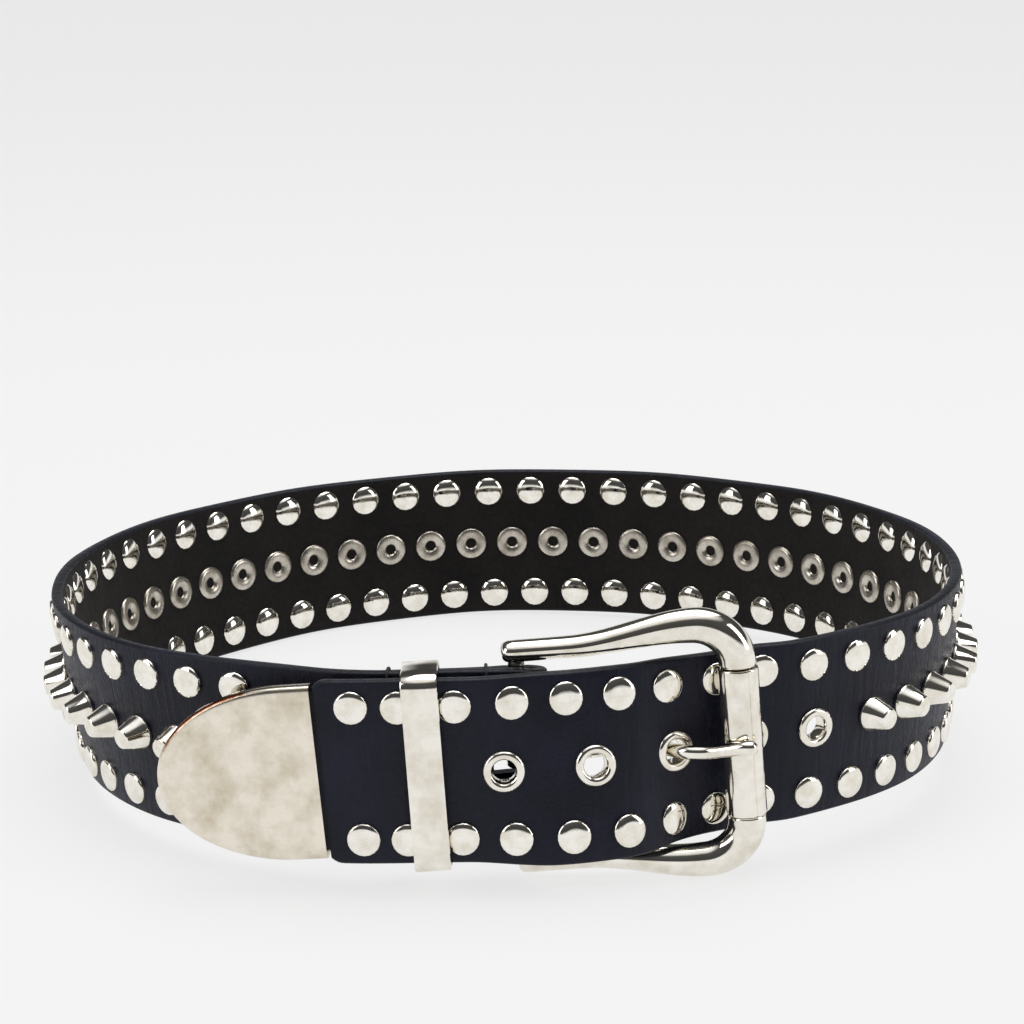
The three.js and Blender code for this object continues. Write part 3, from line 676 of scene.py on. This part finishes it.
# %% Eyelets
def eyelet_shape(sides=36):
    profile = [(3.2, -2.2), (3.35, -2.45), (4.2, -2.5), (5.0, -2.3), (5.2, -1.95), (5.1, -1.72),
               (3.75, -1.7), (3.7, 1.7), (5.4, 1.75), (5.5, 2.0), (5.3, 2.45), (4.8, 2.75), (4.1, 2.8),
               (3.5, 2.55), (3.2, 2.05)]
    turns = np.arange(sides) * math.tau / sides
    return loft([[(r * math.cos(a), r * math.sin(a), z) for a in turns] for r, z in profile], closed=True)


eyelets = set_in_rows("eyelets", [seat(at, HALF_WIDTH) for at in eyelet_places],
                      plain_head("eyelet", eyelet_shape()), buckle_nickel, 13)
shown(eyelets, "belt", "nickel", *[f"eyelet_{index + 1}" for index in range(EYELET_COUNT)])

# %% [markdown]
# The buckle frame is one casting: two arms that thicken towards the roller, with blunt rounded ends at the
# heel bar. Rings along the arm's middle line give its changing thickness better than a curve with a bevel.

# %% Buckle frame
SHOULDER = HALF_WIDTH - ROLLER_INSET
HEEL_HALF = HALF_WIDTH + ARM_CLEARANCE + HEEL_ROD / 2
CROWN_HALF = HEEL_HALF + CROWN_RISE


def arm_line():
    """Middle points of the upper arm, each with the share of the full thickness there."""
    corner = BUCKLE_REACH * 0.8
    blunt_end = ((-3.72, 0.25), (-3.6, 0.5), (-3.3, 0.72), (-2.7, 0.89), (-1.8, 0.98))
    line = [(x, HEEL_HALF, share) for x, share in blunt_end]
    for x in np.linspace(0, corner, 30, endpoint=False):
        line.append((x, HEEL_HALF + CROWN_RISE * smooth_step(0.25, 0.78, x / BUCKLE_REACH), 1))
    for angle in np.linspace(0, math.pi / 2, 18):
        x = corner + (BUCKLE_REACH - corner) * math.sin(angle)
        straight = SHOULDER + SHOULDER_RISE
        line.append((x, straight + (CROWN_HALF - straight) * math.cos(angle), 1))
    return line + [(BUCKLE_REACH, SHOULDER + up, share) for up, share in ((0.35, 1), (0.06, 0.95), (0, 0.86))]


def arm(side, sides=28):
    line = arm_line()
    rings = []
    for index, (x, z, share) in enumerate(line):
        before, after = line[max(index - 1, 0)], line[min(index + 1, len(line) - 1)]
        along = Vector((after[0] - before[0], 0, after[1] - before[1])).normalized()
        across = Vector((-along.z, 0, along.x))
        reach = max(x, 0) / BUCKLE_REACH
        width = (HEEL_ROD + (SHOULDER_ROD - HEEL_ROD) * smooth_step(0.2, 1, reach)) * share / 2
        depth = ROD_DEPTH * (0.88 + 0.26 * reach) * share / 2
        ring = []
        for angle in np.arange(sides) * math.tau / sides:
            point = Vector((x, depth * math.sin(angle), z)) + across * width * math.cos(angle)
            ring.append((point.x, point.y, point.z * side))
        rings.append(ring)
    return loft(rings)


def rod(radius, low, high, x, sides=24):
    points, faces = turned([(0, low), (radius, low), (radius, high), (0, high)], sides)
    return [(px + x, py, pz) for px, py, pz in points], faces


def joined(*shapes):
    points, faces = [], []
    for shape_points, shape_faces in shapes:
        offset = len(points)
        points += shape_points
        faces += [tuple(index + offset for index in face) for face in shape_faces]
    return points, faces


points, faces = joined(arm(1), arm(-1), rod(HEEL_BAR_RADIUS, -HEEL_HALF, HEEL_HALF, 0),
                       rod(ROLLER_BAR_RADIUS, -SHOULDER - 1, SHOULDER + 1, BUCKLE_REACH))
buckle_mesh = to_mesh("buckle", points, faces, BUCKLE_FRAME, sharp=50)
buckle = make_object("buckle_casting", buckle_mesh, [buckle_nickel])
shown(buckle, "belt", "nickel", "buckle_frame")

# %% [markdown]
# The roller is sheet metal rolled into a tube, so a fine seam runs along it. The tube is turned from a
# profile and the points at the seam are pressed in.

# %% Roller
SEAM_DEGREES = 297


def roller_shape(sides=60):
    half, bore = SHOULDER - SEAT_GAP, ROLLER_BAR_RADIUS + SEAT_GAP
    profile = [(bore, -half), (4.9, -half), (5.25, -half + 0.12), (ROLLER_RADIUS, -half + 0.5),
               (ROLLER_RADIUS, half - 0.5), (5.25, half - 0.12), (4.9, half), (bore, half)]
    seam = round(SEAM_DEGREES / 360 * sides)
    rings = []
    for side in range(sides):
        angle = math.tau * side / sides
        pressed = 0.35 if side == seam else 0.0
        pressed_profile = [(r - pressed * (r > bore), z) for r, z in profile]
        rings.append([(r * math.cos(angle), r * math.sin(angle), z) for r, z in pressed_profile])
    return loft(rings, closed=True)


points, faces = roller_shape()
at_roller = BUCKLE_FRAME @ Matrix.Translation((BUCKLE_REACH, 0, 0))
roller = make_object("roller_tube", to_mesh("roller", points, faces, at_roller, sharp=35), [buckle_nickel])
shown(roller, "roller", "nickel", "roller")

# %% [markdown]
# The prong is a bent round rod with an eye round the heel bar. It runs behind the free end, turns out
# through its eyelet and lies on the roller. A spline that follows the spacing of its points keeps the sharp
# bend in the eyelet free of loops.

# %% Prong
def flowing(points, steps=10):
    """A smooth curve through unevenly spaced points."""
    knots = [Vector(point) for point in points]
    knots = [2 * knots[0] - knots[1]] + knots + [2 * knots[-1] - knots[-2]]
    curve = []
    for index in range(1, len(knots) - 2):
        before, start, end, after = knots[index - 1:index + 3]
        gaps = [max((b - a).length, 1e-4) ** 0.5 for a, b in ((before, start), (start, end), (end, after))]
        leave = (start - before) / gaps[0] - (end - before) / (gaps[0] + gaps[1]) + (end - start) / gaps[1]
        arrive = (end - start) / gaps[1] - (after - start) / (gaps[1] + gaps[2]) + (after - end) / gaps[2]
        leave, arrive = leave * gaps[1], arrive * gaps[1]
        for t in np.arange(steps) / steps:
            curve.append((2 * start - 2 * end + leave + arrive) * t**3
                         + (3 * end - 3 * start - 2 * leave - arrive) * t**2 + leave * t + start)
    return curve + [knots[-2]]


def bent_rod(line, radii, sides=18, across=Vector((0, 0, 1))):
    rings = []
    for index, (middle, radius) in enumerate(zip(line, radii)):
        along = (line[min(index + 1, len(line) - 1)] - line[max(index - 1, 0)]).normalized()
        wide = along.cross(across).normalized()
        high = wide.cross(along).normalized()
        rings.append([middle + wide * radius * math.cos(a) + high * radius * math.sin(a)
                      for a in np.arange(sides) * math.tau / sides])
    return loft(rings)


eyelet_frame = seat(PRONG_EYELET_AT, HALF_WIDTH)
through = [eyelet_frame @ Vector((along * EYELET_HOLE, 0, out * LEATHER)) for along, out in
           ((-1.72, -2.42), (-0.6, -1.62), (-0.27, -0.81), (0, 0), (0.27, 0.81), (0.66, 1.56), (1.88, 2.56))]
ring_radius = HEEL_BAR_RADIUS + SEAT_GAP
start = HEEL + Vector((ring_radius + PRONG_RADIUS * 0.8, 0, 0))
on_roller = roller_middle - Vector((0, ROLLER_RADIUS + 3 * SEAT_GAP + PRONG_RADIUS, -0.4))
prong_end = on_roller + Vector((PRONG_OVERHANG, -0.2, 0))
line = flowing([start, start.lerp(through[0], 0.5) + Vector((0, 0.4, 0)), *through, on_roller, prong_end])
radii = [PRONG_RADIUS] * len(line)
for back, share in enumerate((0.5, 0.66, 0.8, 0.9, 0.96)):
    radii[-1 - back] = PRONG_RADIUS * share
half_head = PRONG_HEAD / 2
eye_profile = [(0, -half_head), (1.6, -half_head), (2.1, 0.5 - half_head),
               (2.1, half_head - 0.5), (1.6, half_head), (0, half_head)]
eye_profile = [(ring_radius + out, z) for out, z in eye_profile]
eye_rings = [[BUCKLE_FRAME @ Vector((r * math.cos(a), r * math.sin(a), z)) for r, z in eye_profile]
             for a in np.arange(32) * math.tau / 32]
points, faces = joined(bent_rod(line, radii), loft(eye_rings, closed=True))
prong = make_object("prong_rod", to_mesh("prong", points, faces, sharp=50), [buckle_nickel])
shown(prong, "belt", "nickel", "prong")

# %% [markdown]
# The keeper is a flat strip bent into a loop round both layers. Its corners are round at the front and
# tighter at the back. Its front bulges by half a millimetre, so that its light changes from end to end.

# %% Keeper
KEEPER_BULGE = 0.55


def keeper_shape():
    front = HALF_LEATHER + STUD_HEIGHT + SEAT_GAP + KEEPER_WALL / 2
    back = OVERLAP_STEP + HALF_LEATHER + KEEPER_SLACK + KEEPER_WALL / 2
    half = HALF_WIDTH + KEEPER_SLACK + KEEPER_WALL / 2
    line = []
    corners = ((front, -half, 3.3, -90), (front, half, 3.3, 0),
               (-back, half, 1.0, 90), (-back, -half, 1.0, 180))
    for z, y, radius, first in corners:
        cz = z - math.copysign(radius, z)
        cy = y - math.copysign(radius, y)
        for angle in np.radians(np.linspace(first, first + 90, 7)):
            normal = (math.cos(angle), math.sin(angle))
            line.append(((cz + radius * normal[0], cy + radius * normal[1]), normal))
    dense = []
    for index, (point, normal) in enumerate(line):
        dense.append((point, normal))
        following, _ = line[(index + 1) % len(line)]
        length = math.dist(point, following)
        for share in np.arange(1, int(length / 3)) / max(int(length / 3), 1):
            dense.append((tuple(np.array(point) * (1 - share) + np.array(following) * share), normal))
    wall, wide = KEEPER_WALL / 2, KEEPER_WIDTH / 2
    edge = [(-wide + 0.5, wall), (wide - 0.5, wall), (wide - 0.12, wall - 0.2), (wide, wall - 0.55),
            (wide, -wall + 0.4), (wide - 0.4, -wall), (-wide + 0.4, -wall), (-wide, -wall + 0.4),
            (-wide, wall - 0.55), (-wide + 0.12, wall - 0.2)]
    rings = []
    for (z, y), (outward, upward_share) in dense:
        bulge = KEEPER_BULGE * math.cos(math.pi / 2 * min(abs(y) / half, 1)) if z > 0 else 0
        ring = []
        for x, n in edge:
            ring.append((x, y + upward_share * n, z + bulge * (1 - (x / wide) ** 2 * 0.7) + outward * n))
        rings.append(ring)
    return loft(rings, closed=True)


keeper_at = distance_at(HEEL_X - KEEPER_FROM_HEEL, MOUTH - 80, MOUTH)
keeper_frame = seat(keeper_at, HALF_WIDTH, 0, keeper_at - 7, keeper_at + 7)
points, faces = keeper_shape()
keeper = make_object("keeper_loop", to_mesh("keeper", points, faces, keeper_frame, sharp=35), [buckle_nickel])
shown(keeper, "belt", "nickel", "keeper")

# %% [markdown]
# The tip is a pressed end cap with a rounded rim. Its outline is straight by the mouth and then half an
# ellipse. Each ring of the loft is that outline with its own inset and height, so the rim rolls over softly.
# An orange-brown stain runs along the upper rim. Each point carries its share of it as an attribute.

# %% Tip
def tip_outline(inset):
    half = HALF_WIDTH - TIP_INSET - inset
    points = [(0, -half), (-TIP_STRAIGHT / 2, -half)]
    for angle in np.linspace(-math.pi / 2, -math.pi * 1.5, 41):
        points.append((-TIP_STRAIGHT + (TIP_ROUND - inset) * math.cos(angle), half * math.sin(angle)))
    return points + [(-TIP_STRAIGHT / 2, half), (0, half)]


thick = TIP_THICKNESS / 2
rim = [(7.0, -thick), (1.6, -thick + 0.05), (0.7, -thick + 0.25), (0.15, -thick + 0.8),
       (0.0, -thick + 1.4), (0.0, thick - 1.5), (0.1, thick - 0.95), (0.4, thick - 0.5),
       (0.95, thick - 0.18), (1.8, thick - 0.04), (7.0, thick + 0.1)]
rings = [[(x, y, z) for x, y in tip_outline(inset)] for inset, z in rim]
points, faces = loft(rings)
tip_start, tip_end = MOUTH - STUD_FROM_MOUTH - STUD_PITCH / 2, MOUTH - 0.8
tip_frame = seat(MOUTH, HALF_WIDTH, 0, tip_start, tip_end)
tip_nickel = nickel("stained nickel tip", "#ece5d7", "#cdc2ad", "#8b7961", 0.26, 0.14, 0.3, 9.0, "#8a4a1c")
tip = make_object("metal_tip", to_mesh("tip", points, faces, tip_frame, sharp=35), [tip_nickel])
to_tip = (REST @ tip_frame).inverted()
stain_values = []
for vertex in tip.data.vertices:
    x, y, z = to_tip @ (vertex.co / MM)
    across, up = (x + TIP_STRAIGHT) / TIP_ROUND, y / (HALF_WIDTH - TIP_INSET)
    at_rim = smooth_step(0.955, 0.99, math.hypot(across, up))
    around = math.degrees(math.atan2(up, -across))
    along_rim = smooth_step(8, 30, around) * (1 - smooth_step(70, 84, around))
    stain_values.append(at_rim * along_rim * (z > 0))
tip.data.attributes.new("stain", "FLOAT", "POINT").data.foreach_set("value", stain_values)
shown(tip, "belt", "nickel", "tip")

# %% [markdown]
# Two upright rows of waxed thread hold the folded end, one on each side of the keeper. Each stitch is a
# short fat thread, and a thread wraps the strap's edge at both ends of a row.

# %% Stitches
thread, thread_tree = new_finish("waxed black thread")
thread_place = add(thread_tree, "ShaderNodeTexCoord").outputs["Object"]
twist = add(thread_tree, "ShaderNodeTexWave", {
    "Vector": thread_place, "Scale": 1 / (0.9 * MM), "Distortion": 1.5}).outputs["Fac"]
finish_with(thread_tree, {
    "Base Color": paint("#17181c"), "Roughness": 0.62, "Normal": bump(thread_tree, twist, 0.1, 0.5)})

sideways = Vector((1, 0, 0))
stitch_line = flowing([(0, -2.6, -0.5), (0, -1.9, 0.25), (0, 0, 0.42), (0, 1.9, 0.25), (0, 2.6, -0.5)], 3)
stitch_head = plain_head("stitch", bent_rod(stitch_line, [0.5] * len(stitch_line), 8, sideways), 60)
stitch_frames, wraps = [], []
for x in (HEEL_X - 33.5, HEEL_X - 8.4):
    under = distance_at(x, FOLD_END, FOLD_END + 90)
    folded = distance_at(x, 0, FOLD_START)
    for height in np.arange(5.2, STRAP_WIDTH - 4, 6.6):
        stitch_frames.append(seat(under, height, HALF_LEATHER))
        stitch_frames.append(seat(folded, height, HALF_LEATHER))
    for edge, way in ((0, -1), (STRAP_WIDTH, 1)):
        outer = strap_point(under, edge - way * 3, HALF_LEATHER + 0.1)
        inner = strap_point(folded, edge - way * 3, HALF_LEATHER + 0.1)
        up = Vector((0, 0, way))
        over = [outer.lerp(inner, share) + up * 3.3 for share in (0.25, 0.75)]
        wrap_line = flowing([outer, outer + up * 2.6, *over, inner + up * 2.6, inner], 4)
        wraps.append(bent_rod(wrap_line, [0.45] * len(wrap_line), 10, sideways))
stitches = set_in_rows("stitches", stitch_frames, stitch_head, thread, 17, spin=0.0)
shown(stitches, "belt", "leather")
points, faces = joined(*wraps)
edge_wraps = make_object("edge_threads", to_mesh("edge threads", points, faces, sharp=60), [thread])
shown(edge_wraps, "belt", "leather")

# %% [markdown]
# The floor is a plain pale sheet that glows, which keeps it even. Soft boxes above and at the sides light
# the belt as in a product studio. The surroundings are pale low down and overhead and dark between, so that
# the metal mirrors bright faces with dark bands. Colours are shown as they are, without a film curve.

# %% Floor and light
bpy.context.scene.view_settings.view_transform = "Standard"
FLOOR_GLOW = 0.745
floor_mesh = bpy.data.meshes.new("floor")
floor_mesh.from_pydata([(-9, -4, 0), (9, -4, 0), (9, 14, 0), (-9, 14, 0)], [], [(0, 1, 2, 3)])
floor_finish, floor_tree = new_finish("matt pale floor")
finish_with(floor_tree, {
    "Base Color": paint("#656565"), "Roughness": 0.9, "Emission Color": paint("#ffffff"),
    "Emission Strength": FLOOR_GLOW})
floor = make_object("floor", floor_mesh, [floor_finish])
floor.location.z = -0.0002

world = bpy.data.worlds.new("studio")
world.use_nodes = True
sky = world.node_tree
direction = add(sky, "ShaderNodeTexCoord").outputs["Generated"]
elevation = add(sky, "ShaderNodeSeparateXYZ", {"Vector": direction}).outputs["Z"]
surroundings = ramp(sky, elevation, [(0.0, 0.9), (0.14, 0.9), (0.24, 0.05), (0.78, 0.08), (0.92, 1.0)])
sky.links.new(surroundings, sky.nodes["Background"].inputs["Color"])
sky.nodes["Background"].inputs["Strength"].default_value = 1.0
bpy.context.scene.world = world


def soft_box(name, place, target, size, power):
    light = bpy.data.lights.new(name, "AREA")
    light.shape, light.size, light.size_y, light.energy = "RECTANGLE", size[0], size[1], power
    lamp = bpy.data.objects.new(name, light)
    lamp.location = place
    lamp.rotation_euler = (Vector(target) - Vector(place)).to_track_quat("-Z", "Y").to_euler()
    bpy.context.scene.collection.objects.link(lamp)


soft_box("overhead box", (0.1, 0.25, 1.3), (0, 0, 0), (1.1, 1.1), 11)
soft_box("left box", (-1.1, -0.5, 0.7), (0, 0, 0.03), (0.7, 0.9), 5)
soft_box("right box", (1.2, -0.3, 0.6), (0, 0, 0.03), (0.5, 0.9), 4)
print("lights", len(bpy.data.lights))
